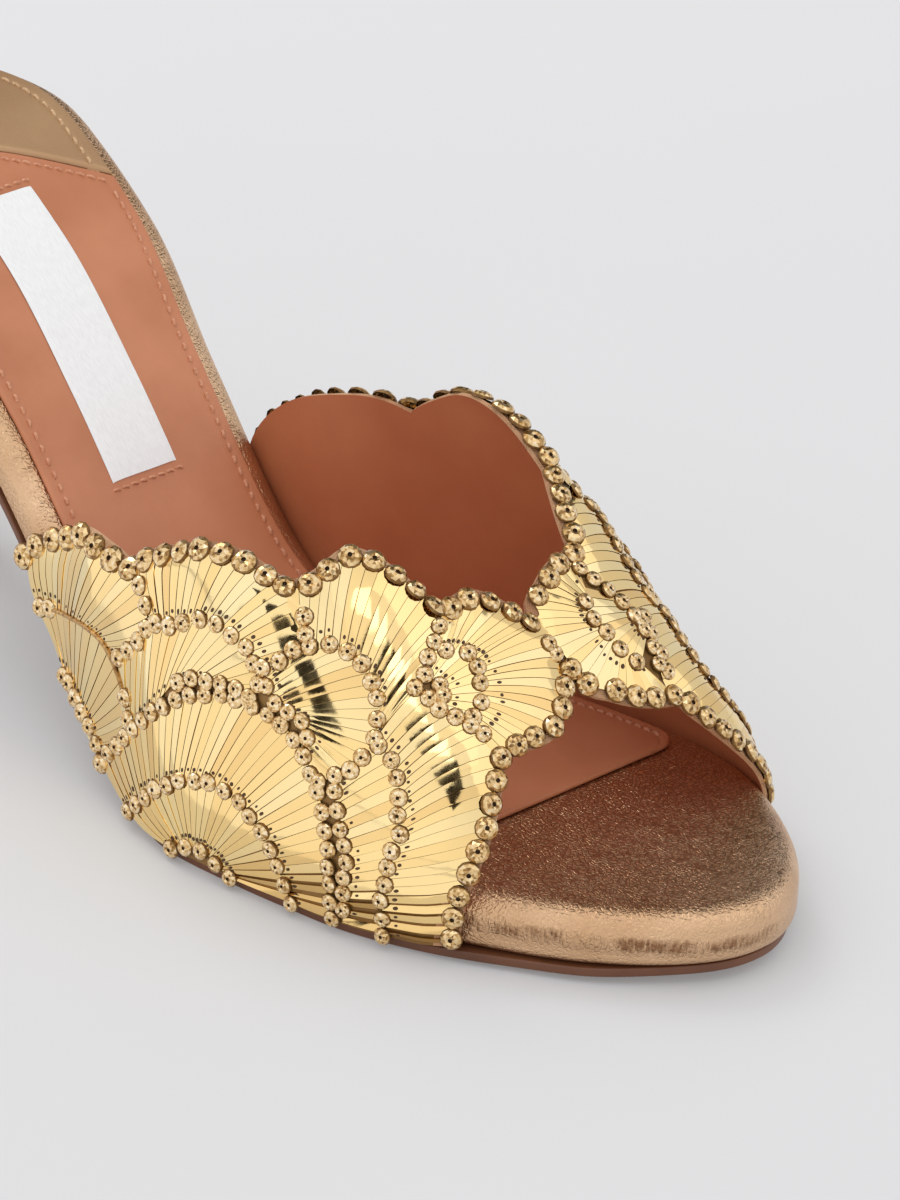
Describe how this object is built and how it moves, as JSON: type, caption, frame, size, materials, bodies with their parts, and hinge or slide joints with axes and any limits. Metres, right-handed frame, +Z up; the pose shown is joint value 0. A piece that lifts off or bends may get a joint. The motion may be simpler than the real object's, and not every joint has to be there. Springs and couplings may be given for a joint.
{
  "type": "heeled mule",
  "caption": "Right heeled mule: bow-shaped vamp over a wrapped footbed, thin leather sole and a slim heel of about 75 mm.",
  "frame": {"origin": "on the floor under the middle of the forefoot's flat tread", "axes": "-Y towards the toe, +Z up, +X towards the inner side of the foot"},
  "size_m": [0.0831, 0.214, 0.0843],
  "materials": {
    "gold_mirror_film": "mirror-polished metallised strips on the vamp",
    "champagne_nappa": "metallic foiled nappa",
    "pink_tan_sock_leather": "smooth, matte",
    "gold_tan_heel_leather": "smooth, soft metallic",
    "brown_sole_leather": "waxed edge",
    "brown_tip_rubber": "matte"
  },
  "bodies": {
    "root": {"outsole": "brown_sole_leather", "footbed": "champagne_nappa", "sock_lining": "pink_tan_sock_leather", "heel_sock": "gold_tan_heel_leather", "upper": "gold_mirror_film", "heel": "champagne_nappa", "heel_tip": "brown_tip_rubber"}
  },
  "joints": []
}
